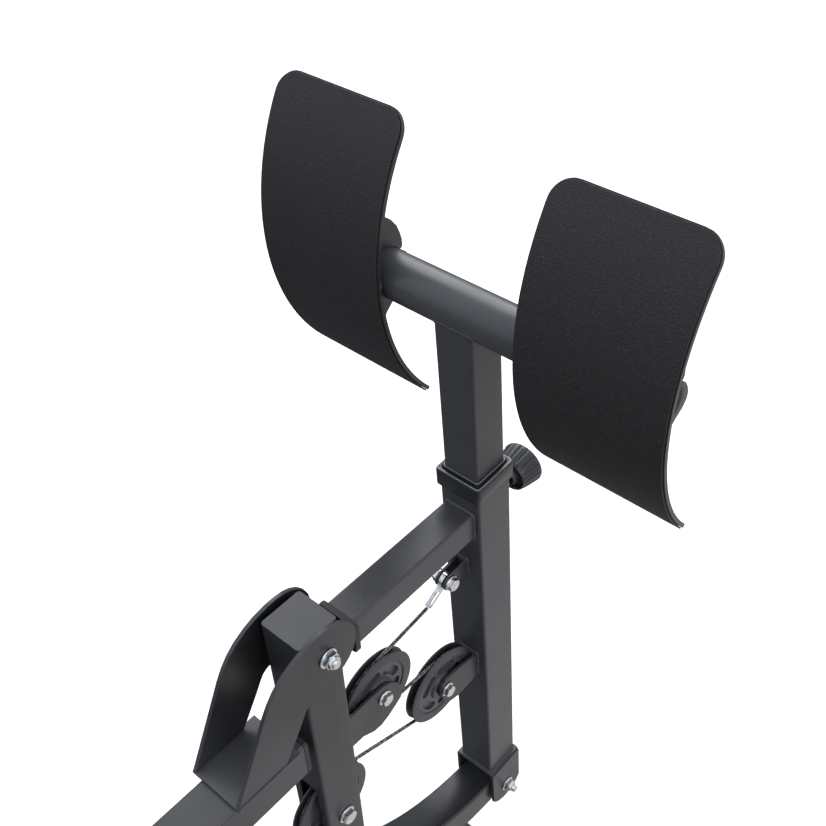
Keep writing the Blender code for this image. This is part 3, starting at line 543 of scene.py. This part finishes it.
def bolt(node, half, place, side=-1, tail=0.003, tilt=0.35, size=1.0, far=None):
    """Hexagon bolt along X with washers and a locking nut.

    side is the head's side, half reaches from place to the nut's side of the joint and far to the head's.
    """
    near, far = half + GAP, (far or half) + GAP
    thick, shank, across = WASHER_H * size, BOLT_R * size, NUT_AF * size
    shape = Shape()
    washer(shape, side * far, side * (far + thick), size)
    washer(shape, -side * near, -side * (near + thick), size)
    head = side * (far + thick)
    hexagon(shape, head, head + side * HEAD_H * size, across)
    nut = -side * (near + thick)
    crown = nut - side * NUT_H * size
    hexagon(shape, nut, crown + side * 0.0035 * size, across)
    ring = crown + side * 0.0038 * size
    shape.lathe([(ring, shank), (ring, 0.0086 * size), (crown + side * 0.0012, 0.0084 * size),
                 (crown + side * 0.0004, 0.0079 * size), (crown, 0.0072 * size), (crown, shank)], steps=48)
    low, high, bore = crown + side * 0.0002, crown - side * 0.0001, shank - 0.0001
    shape.lathe([(low, bore), (low, 0.0070 * size), (high, 0.0069 * size), (high, bore)], steps=48, finish=1)
    thread = [(head - side * 0.0001, shank - 0.0003)]
    turns = max(2, round((tail + 0.001) / 0.00175))
    for i in range(turns):
        x = crown - side * (tail * i / turns)
        thread += [(x, shank - 0.0008), (x - side * tail / turns / 2, shank - 0.0001)]
    thread += [(crown - side * tail, shank - 0.0012)]
    shape.lathe(thread, steps=32, joined=False)
    place = Matrix.Translation(place) @ Matrix.Rotation(tilt, 4, "X")
    shape.make(node + "_made", [ZINC, NYLON], BODY[node], SLOT[node], [node], place, smooth=28)


def bolts():
    half = EAR_IN + EAR
    bolt("pulley_1_bolt", half, level(*PULLEY_1), 1, tilt=0.2, size=SMALL)
    bolt("pulley_2_bolt", half, leaning(*PULLEY_2), 1, tilt=0.6, size=SMALL)
    bolt("pulley_3_bolt", TUBE / 2, level(*PULLEY_3), 1, tilt=0.45)
    bolt("pulley_4_bolt", half, level(*PULLEY_4), 1, size=SMALL)
    bolt("anchor_bolt", 0.008, leaning(*ANCHOR), 1, tilt=0.1, size=SMALL)
    bolt("gusset_bolt", TUBE / 2 + GAP + PLATE, level(*GUSSET_BOLT), tilt=0.3, far=LEFT_GUSSET + PLATE)
    bolt("hinge_bolt", 0.0325 + PLATE, leaning(0, -HINGE_DROP), tail=0.0065, tilt=0.5)


# ---------------------------------------------------------------- pulleys
def pulley(node, place, tilt):
    """Wheel with five blind pockets on each side, its bearing and the spacers on its bolt."""
    rim, half, hub, web = PULLEY_R, PULLEY_W / 2, HUB_W / 2 - 0.002, 0.0055
    shape = Shape()
    lip = 0.0013
    side = [(web + 0.0002, 0.0448), (half - 0.0006, 0.0452), (half, 0.0462), (half, rim - lip),
            (half - 0.0004, rim - 0.0004), (half - 0.0013, rim), (half - 0.0022, rim - 0.0004),
            (half - 0.0026, rim - lip),
            (CABLE_R + 0.0006, GROOVE_R + 0.0012), (CABLE_R - 0.0006, GROOVE_R - 0.0005)]
    profile = side + [(-x, r) for x, r in reversed(side)]
    shape.lathe(profile + [(0.0, 0.0440)], steps=96)
    slots = []
    for i in range(5):
        middle = 72 * i + 18
        slot = arc(0, 0, 0.040, middle - 19, middle + 19, 14)
        for turn in (19, -19):
            corner = arc(0, 0, 0.0335, middle + turn, middle + turn, 1)[0]
            first = middle + turn + (20 if turn > 0 else -160)
            slot += arc(*corner, 0.0065, first, first + 140, 8)
            if turn > 0:
                slot += arc(0, 0, 0.027, middle + 19, middle - 19, 10)
        slots.append(slot)
    centre = circle(0, 0, 0.0190, 60)
    for end in (1, -1):
        shape.prism([circle(0, 0, 0.0450, 96)] + slots + [centre], end * 0.0010, end * web, "x")
    shape.prism([circle(0, 0, 0.0445, 96), centre], -0.0014, 0.0014, "x")
    shape.lathe([(hub, 0.0145), (hub, 0.0190), (hub - 0.0008, 0.0200), (web, 0.0215), (-web, 0.0215),
                 (0.0008 - hub, 0.0200), (-hub, 0.0190), (-hub, 0.0145)], steps=64)
    for end in (1, -1):
        for lift, low, high, finish in ((0.0003, 0.0118, 0.0146, 1), (-0.0008, 0.0086, 0.0119, 2)):
            face = end * (hub + lift)
            deep = face - end * 0.004
            shape.lathe([(deep, low), (face, low), (face, high), (deep, high)], steps=48, finish=finish)
    tip, bore = HUB_W / 2, BOLT_R + GAP
    shape.lathe([(tip, bore), (tip, 0.0085), (tip - 0.0005, 0.0090), (0.0005 - tip, 0.0090), (-tip, 0.0085),
                 (-tip, bore)], steps=48, finish=1)
    place = Matrix.Translation(place) @ Matrix.Rotation(tilt, 4, "X")
    shape.make(node + "_made", [WHEEL, STEEL, RUBBER], BODY[node], SLOT[node], [node], place, smooth=30)


# ---------------------------------------------------------------- press arm's top: collar, knob, barrel
def collar():
    """Moulded cap on the sleeve's top and the bushing in it, each with a painted highlight along its rim."""
    # each row is half a width, a height above the sleeve and the corners' radius
    cap = [(0.0336, -0.0220, 0.0055), (0.0340, -0.0214, 0.0058), (0.0340, 0.0006, 0.0058),
           (0.0337, 0.0020, 0.0056), (0.0332, 0.0031, 0.0052), (0.0325, 0.0038, 0.0048),
           (0.0316, 0.0042, 0.0045), (0.0288, 0.0042, 0.0036), (0.0283, 0.0039, 0.0033),
           (0.0280, 0.0032, 0.0030), (0.0280, 0.0, 0.0030), (0.0303, 0.0, 0.0043),
           (0.0303, -0.0220, 0.0043)]
    bushing = [(0.0272, -0.0500, 0.0012), (0.0272, -0.0002, 0.0012), (0.0277, 0.0003, 0.0030),
               (0.0277, 0.0060, 0.0035), (0.0275, 0.0067, 0.0037), (0.0270, 0.0072, 0.0040),
               (0.0261, 0.0072, 0.0038), (0.0257, 0.0070, 0.0036), (0.02555, 0.0064, 0.0035),
               (0.02555, -0.0500, 0.0035)]
    for node, profile, out, inner, low in (("sleeve_collar", cap, 0.0323, 0.0315, 0.0037),
                                           ("post_bushing", bushing, 0.0268, 0.0262, 0.0067)):
        shape = Shape()
        # The thin band from low to high takes the bright material: a painted highlight along the rim.
        high = low + 0.0006
        rim = [(out, low, 0.0048), (out, high, 0.0048), (inner, high, 0.0044), (inner, low, 0.0044)]
        for rows, finish in ((profile, 0), (rim, 1)):
            rings = [[(u, v, z) for u, v in rounded(half, corner)] for half, z, corner in rows]
            shape.loft(rings, joined=True, finish=finish)
        shape.make(node + "_made", [GLOSSY, PAINTED_RIM_HIGHLIGHT], "press_arm", "black_plastic", [node], LEANING, smooth=40)


def knob():
    """Fluted cup on the adjuster pin, open towards the sleeve."""
    start, front, back = 0.0300, 0.0350, 0.0660
    shape = Shape()
    pin = 0.0055 - GAP
    shape.lathe([(-0.0045, 0.0045), (-0.0030, pin), (start + 0.002, pin)], "y", 32, joined=False, finish=1)
    shape.lathe([(start, 0.0098), (start, 0.0118), (start + 0.0006, 0.0122), (front + 0.006, 0.0126),
                 (front + 0.006, 0.0098)], "y", 48, finish=2)

    def flute(along, angle):
        rise = min(1.0, max(0.0, (along - front) / 0.006))
        fall = min(1.0, max(0.0, (back - along) / 0.0025))
        wave = 0.5 - 0.5 * math.cos(16 * angle)
        return 1 - 0.055 * rise * fall * wave ** 8
    outside = [(front + 0.0060, 0.0126), (front + 0.0050, 0.0205), (front + 0.0008, 0.0218), (front, 0.0224),
               (front + 0.0005, 0.0231)]
    for i in range(9):
        share = i / 8
        outside.append((front + 0.0016 + (back - front - 0.0036) * share, 0.0238 + 0.0056 * share ** 0.8))
    outside += [(back - 0.0010, 0.0292), (back - 0.0002, 0.0286), (back + 0.0006, 0.0272),
                (back + 0.0010, 0.0250), (back + 0.0004, 0.0235), (back + 0.0004, 0.0100),
                (back - 0.0002, 0.0080)]
    shape.lathe(outside, "y", 128, joined=False, flute=flute)
    place = LEANING @ Matrix.Translation((0, SLEEVE / 2, -PIN_DROP))
    shape.make("adjuster_knob_made", [KNOB, ZINC, NECK], "adjuster", "black_plastic", ["adjuster_knob"],
               place @ Matrix.Rotation(0.1, 4, "Y"), smooth=38)
    barrel = Shape()
    profile = [(GAP, 0.0058), (GAP, 0.0126), (0.0006, 0.0130), (0.0052, 0.0130), (0.0060, 0.0122),
               (0.0060, 0.0100)]
    for i in range(11):
        profile += [(0.0068 + 0.0015 * i, 0.0100), (0.00755 + 0.0015 * i, 0.0092)]
    profile += [(0.0236, 0.0097), (0.0240, 0.0092), (0.0240, 0.0058)]
    barrel.lathe(profile, "y", 48)
    barrel.make("adjuster_barrel_made", [STEEL], "press_arm", "zinc", ["adjuster_barrel"], place, smooth=25)


# ---------------------------------------------------------------- foot bar
def bend_point(radius, degrees):
    """(back, up) on a circle about the foot plates' bend, degrees up from straight ahead."""
    angle = math.radians(degrees)
    return PLATE_CENTRE[0] - radius * math.cos(angle), PLATE_CENTRE[1] + radius * math.sin(angle)


def bent_sheet(centre, half, front, back, low, high, top_corner, low_corner):
    """A sheet bent about X between two radii, with rounded corners."""
    length = math.radians(high - low) * front
    stations = {0.0, length}
    for corner, end in ((low_corner, 0.0), (top_corner, length)):
        for i in range(15):
            stations.add(abs(end - corner * (1 - math.cos(math.pi / 2 * i / 14))))
    stations |= {low_corner + (length - low_corner - top_corner) * i / 60 for i in range(61)}
    ordered = []
    for place in sorted(stations):
        if not ordered or place - ordered[-1] > 0.0002:
            ordered.append(place)
    ordered[-1] = length
    rings = []
    for place in ordered:
        corner, from_end = (low_corner, place) if place < length / 2 else (top_corner, length - place)
        short = max(corner - from_end, 0.0)
        wide = half - corner + math.sqrt(max(corner ** 2 - short ** 2, 0.0))
        degrees = low + math.degrees(place / front)
        (fu, fv), (bu, bv) = bend_point(front, degrees), bend_point(back, degrees)
        left, right = centre - wide, centre + wide
        rings.append([(left, fu, fv), (right, fu, fv), (right, bu, bv), (left, bu, bv)])
    return rings


def foot_bar():
    """Both foot plates with skins and ribs, the crossbar with its caps, and the post."""
    edge = math.degrees(0.003 / PLATE_R)
    centre = LEANING @ Matrix.Translation((0, 0, BAR_HEIGHT))
    for side, word in ((1, "right"), (-1, "left")):
        middle, steel = side * PLATE_X, PLATE_R - SKIN - GAP
        plate = bent_sheet(middle, PLATE_HALF, steel, steel - PLATE, PLATE_LOW, PLATE_HIGH, 0.026, 0.004)
        name = "foot_plate_" + word
        Shape().loft(plate).make(name + "_made", [COAT], "foot_bar", "powder_coat", [name], LEANING,
                                 0.0012, 50, 3)
        skin = bent_sheet(middle, PLATE_HALF - 0.0016, PLATE_R, PLATE_R - SKIN, PLATE_LOW + edge * 0.55,
                          PLATE_HIGH - edge * 0.55, 0.0245, 0.0034)
        name = "foot_skin_" + word
        Shape().loft(skin).make(name + "_made", [SKIN_TEXTURE], "foot_bar", "textured_skin", [name], LEANING,
                                0.0009, 50, 3)
        for end in ("inner", "outer"):
            refine("foot_rib_%s_%s" % (word, end), 0.0007, 40)
        cap = Shape()
        profile = [(-0.0150, WALL + 0.0012), (GAP, WALL + GAP), (GAP, 0.0010), (0.0006, 0.0005),
                   (0.0018, 0.0007), (0.0027, 0.0022), (0.0030, 0.0045), (0.0027, 0.0060), (0.0022, 0.0068),
                   (0.0022, BAR_R - 0.002)]
        cap.lathe([(side * (BAR_HALF + out), BAR_R - step) for out, step in profile], steps=64, joined=False)
        name = "crossbar_cap_" + word
        cap.make(name + "_made", [PLASTIC], "foot_bar", "black_plastic", [name], centre, smooth=40)
    bar = Shape()
    half, inner, soft = BAR_HALF, BAR_R - WALL, 0.0006
    bar.lathe([(-half, inner), (-half, BAR_R - soft), (soft - half, BAR_R), (half - soft, BAR_R),
               (half, BAR_R - soft), (half, inner)], steps=96)
    bar.make("crossbar_made", [COAT], "foot_bar", "powder_coat", ["crossbar"], centre, smooth=40)
    refine("post", 0.0005, 40)


# ---------------------------------------------------------------- cable
def tangent(first, second, turn_1, turn_2, radius):
    """Where a taut cable leaves one circle and meets the next, as in the model."""
    (a, r_a), (b, r_b) = (first, radius[0]), (second, radius[1])
    across = b - a
    lean = math.asin((turn_2 * r_b - turn_1 * r_a) / across.length)
    along = math.atan2(across.y, across.x) - lean
    normal = Vector((math.sin(along), -math.cos(along)))
    return a + normal * r_a * turn_1, b + normal * r_b * turn_2


def rope(shape, points, start):
    """Six strands laid round a core, along points in the (y, z) plane; start is the length before them."""
    lay, strand, centre = 0.020, CABLE_R / 3, CABLE_R * 2 / 3
    route = []
    for a, b in zip(points, points[1:]):
        pieces = max(1, round((b - a).length / 0.0016))
        route += [a.lerp(b, i / pieces) for i in range(pieces)]
    route.append(points[-1])
    rings, along = [], start
    for i, point in enumerate(route):
        if i:
            along += (point - route[i - 1]).length
        ahead = (route[min(i + 1, len(route) - 1)] - route[max(i - 1, 0)]).normalized()
        normal = Vector((-ahead.y, ahead.x))
        twist = 2 * math.pi * along / lay
        ring = []
        for k in range(24):
            angle = 2 * math.pi * k / 24
            off = (angle % (math.pi / 3)) - math.pi / 6
            radius = centre * math.cos(off) + math.sqrt(max(strand ** 2 - (centre * math.sin(off)) ** 2, 0.0))
            side = point + normal * radius * math.sin(angle + twist)
            ring.append((radius * math.cos(angle + twist), side.x, side.y))
        rings.append(ring)
    shape.loft(rings)
    return along


def cable():
    """Cable from the arm's ferrule over the four pulleys to the base.

    It is taut at rest. The three runs between two bodies are attached to neither body, and bow when the arm
    swings out.
    """
    flat = [Vector((p.y, p.z)) for p in (level(*FERRULE_END), level(*PULLEY_1), leaning(*PULLEY_2),
                                         level(*PULLEY_3), level(*PULLEY_4))]
    flat.append(Vector((COLLAR.y - 0.600, flat[-1].y - WRAP_R)))
    radii, turns = (0, WRAP_R, WRAP_R, WRAP_R, WRAP_R, 0), (1, 1, -1, 1, -1, 1)
    joins = [tangent(flat[i], flat[i + 1], turns[i], turns[i + 1], radii[i:i + 2]) for i in range(5)]
    runs = []
    for i in range(5):
        runs.append(list(joins[i]))
        if i == 4:
            break
        centre, turn = flat[i + 1], turns[i + 1]
        start = math.atan2(*reversed(joins[i][1] - centre))
        end = math.atan2(*reversed(joins[i + 1][0] - centre))
        while (end - start) * turn < 0:
            end += 2 * math.pi * turn
        steps = math.ceil(abs(end - start) / math.radians(2))
        angles = [start + (end - start) * k / steps for k in range(steps + 1)]
        runs.append([centre + WRAP_R * Vector((math.cos(a), math.sin(a))) for a in angles])
    along = 0.0
    groups = (("cable_to_arm", runs[0:1], (1, 0)), ("cable_on_pulley_1", runs[1:2], "frame"),
              ("cable_1_to_2", runs[2:3], (0, 1)), ("cable_on_pulley_2", runs[3:4], "press_arm"),
              ("cable_2_to_3", runs[4:5], (1, 0)), ("cable_to_base", runs[5:], "frame"))
    for name, parts, holder in groups:
        shape = Shape()
        points = parts[0] + [p for part in parts[1:] for p in part[1:]]
        along = rope(shape, points, along)
        bmesh.ops.recalc_face_normals(shape.bm, faces=shape.bm.faces)
        mesh = bpy.data.meshes.new(name)
        shape.bm.to_mesh(mesh)
        shape.bm.free()
        replaced = ["pull_cable"] if name == "cable_to_base" else []
        still = isinstance(holder, str)
        made = show(name, mesh, [STRAND], holder if still else None, replaced,
                    0.0, 75, 2, still)
        if not still:
            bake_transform(made)


def cable_ends():
    """Eye and ferrule at the arm, and the clamped fitting at the base."""
    anchor, end = leaning(*ANCHOR), level(*FERRULE_END)
    ahead = end - anchor
    turn = Matrix.Rotation(math.atan2(ahead.z, ahead.y), 4, "X")
    reach = ahead.length - 4 * GAP
    shape = Shape()
    eye = arc(0, 0, 0.0115, 38, 322, 40)
    eye += [(0.0150, -0.0052), (0.0190, -0.0046), (0.0190, 0.0046), (0.0150, 0.0052)]
    shape.prism([eye, circle(0, 0, BOLT_R + GAP, 40)], -0.0028, 0.0028, "x")
    ferrule = [(0.0170, 0.0040), (0.0180, 0.0044)]
    for groove in (0.0240, 0.0330):
        ferrule += [(groove, 0.0044), (groove + 0.0004, 0.0040), (groove + 0.0012, 0.0040),
                    (groove + 0.0016, 0.0044)]
    ferrule += [(reach - 0.0012, 0.0044), (reach - 0.0002, 0.0038), (reach, 0.0030)]
    shape.loft([[(x, y, z) for x, z in circle(0, 0, radius, 32)] for y, radius in ferrule])
    shape.make("cable_eye_made", [ZINC], "press_arm", "zinc", ["cable_eye"],
               Matrix.Translation(anchor) @ turn, 0.0, 35)
    refine("cable_end_fitting", 0.0003, 40)


# ---------------------------------------------------------------- welds
def box_path(u0, u1, v0, v1, place):
    """Four sides of a rectangle; place turns (u, v) into a point."""
    corners = [(u0, v0), (u1, v0), (u1, v1), (u0, v1)]
    path = []
    for (a, b), (c, d) in zip(corners, corners[1:] + corners[:1]):
        path += [place(a + (c - a) * t, b + (d - b) * t) for t in (0.06, 0.5, 0.94)]
    return path


def finish_welds(shape, body):
    shape.make("welds_" + body, [COAT], body, "powder_coat", smooth=80)


def arm_welds():
    """Upper arm, cable anchor, pulley 2's bracket and the clevis on the sleeve."""
    beads = Shape()
    front, low = -SLEEVE / 2, -SLEEVE_LENGTH

    def on_sleeve(u, v):
        return leaning(front - 0.0004, v, u)
    half, middle, side = ARM_W / 2, ARM_TOP - ARM_H / 2 + 0.0015, EAR_IN + EAR
    beads.bead(box_path(-half, half, middle - ARM_H / 2, middle + ARM_H / 2, on_sleeve), 0.0021)
    beads.bead(box_path(-0.008, 0.008, ANCHOR[1] - 0.012, ANCHOR[1] + 0.012, on_sleeve), 0.0015)
    beads.bead(box_path(-side, side, -0.3954, -0.3474, on_sleeve), 0.0016)
    beads.bead(box_path(-0.030, 0.030, -0.030, 0.030, lambda u, v: leaning(v, low, u)), 0.0018)
    finish_welds(beads, "press_arm")


def bar_welds():
    """Post under the crossbar, and the ribs on the backs of the foot plates."""
    beads = Shape()
    half = POST / 2

    def saddle(u, v):
        return leaning(v, BAR_HEIGHT - math.sqrt(max(BAR_R ** 2 - min(abs(v), BAR_R) ** 2, 0)), u)
    path = []
    for u0, v0, u1, v1 in ((-1, -1, 1, -1), (1, -1, 1, 1), (1, 1, -1, 1), (-1, 1, -1, -1)):
        path += [saddle(half * (u0 + (u1 - u0) * t), half * 0.985 * (v0 + (v1 - v0) * t)) for t in
                 (0.02, 0.08, 0.15, 0.25, 0.38, 0.5, 0.62, 0.75, 0.85, 0.92, 0.98)]
    beads.bead(path, 0.0013)
    back = PLATE_R - SKIN - PLATE - GAP
    bend = (*range(-14, 15, 4), 17)
    for sign in (1, -1):
        for end in (1, -1):
            for face in (RIB_OUT, RIB_OUT - PLATE):
                x = sign * (PLATE_X + end * face)
                beads.bead([leaning(*bend_point(back, degrees), x) for degrees in bend], 0.0016, False)
    finish_welds(beads, "foot_bar")


def frame_welds():
    """Pulley brackets, gussets, saddle plate, rail, front leg, upright and feet."""
    beads = Shape()
    half, ears = TUBE / 2, (EAR_IN, EAR_IN + EAR)
    for sign in (1, -1):
        for x in ears:
            beads.bead([level(UPRIGHT_BACK, v, sign * x) for v in (-0.2797, -0.2510, -0.2222)], 0.0012, False)
    foot = RAIL_TOP + PLATE + GAP
    for x in (half + 2 * GAP + PLATE, -LEFT_GUSSET - PLATE - GAP):
        beads.bead([level(u, foot, x) for u in (-0.434, -0.400, -0.368)], 0.0015, False)
    for x in (-half, half):
        beads.bead([level(v, RAIL_TOP + GAP, x) for v in (-0.435, -0.391, -0.347)], 0.0013, False)
    rail_mid, face, leg = RAIL_TOP - half, FRONT_END + PLATE * 1.6, FRONT_END + 0.045
    floor, foot_mid = BASE_TOP - COLLAR.z, -0.268
    beads.bead(box_path(-half, half, -half, half, lambda u, v: level(face, rail_mid + v, u)), 0.0020)
    for height, start, end in ((RAIL_TOP - TUBE, leg - half, leg + half), (floor, leg - half, leg + half),
                               (floor, UPRIGHT_FRONT, UPRIGHT_BACK)):
        beads.bead(box_path(-half, half, start, end, lambda u, v: level(v, height, u)), 0.0020)
    for sign in (1, -1):
        beads.bead(box_path(foot_mid - half, foot_mid + half, -half, half * 0.98,
                            lambda u, v: level(u, floor - half + v, sign * half)), 0.0018)
    beads.bead(box_path(-half, half, -half, half,
                        lambda u, v: level(leg + half, floor - half + v, u)), 0.0018)
    for sign in (1, -1):
        beads.bead([level(PULLEY_4[0] + along, floor, sign * ears[1]) for along in (-0.025, 0, 0.025)],
                   0.0014, False)
    finish_welds(beads, "frame")


# ---------------------------------------------------------------- the whole
def main():
    camera()
    studio()
    bolts()
    for node, place, tilt in (("pulley_1", level(*PULLEY_1), 0.35), ("pulley_2", leaning(*PULLEY_2), 0.9),
                              ("pulley_3", level(*PULLEY_3), 0.1), ("pulley_4", level(*PULLEY_4), 0.5)):
        pulley(node, place, tilt)
    collar()
    knob()
    foot_bar()
    cable()
    cable_ends()
    arm_welds()
    bar_welds()
    frame_welds()
    shown = set()
    for thing in bpy.data.objects:
        shown |= set(thing.get("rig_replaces", []))
    for node in sorted(set(NODES) - shown):
        refine(node)
    for node, thing in NODES.items():
        thing.data.materials.clear()
        thing.data.materials.append(FINISH[SLOT[node]])


main()
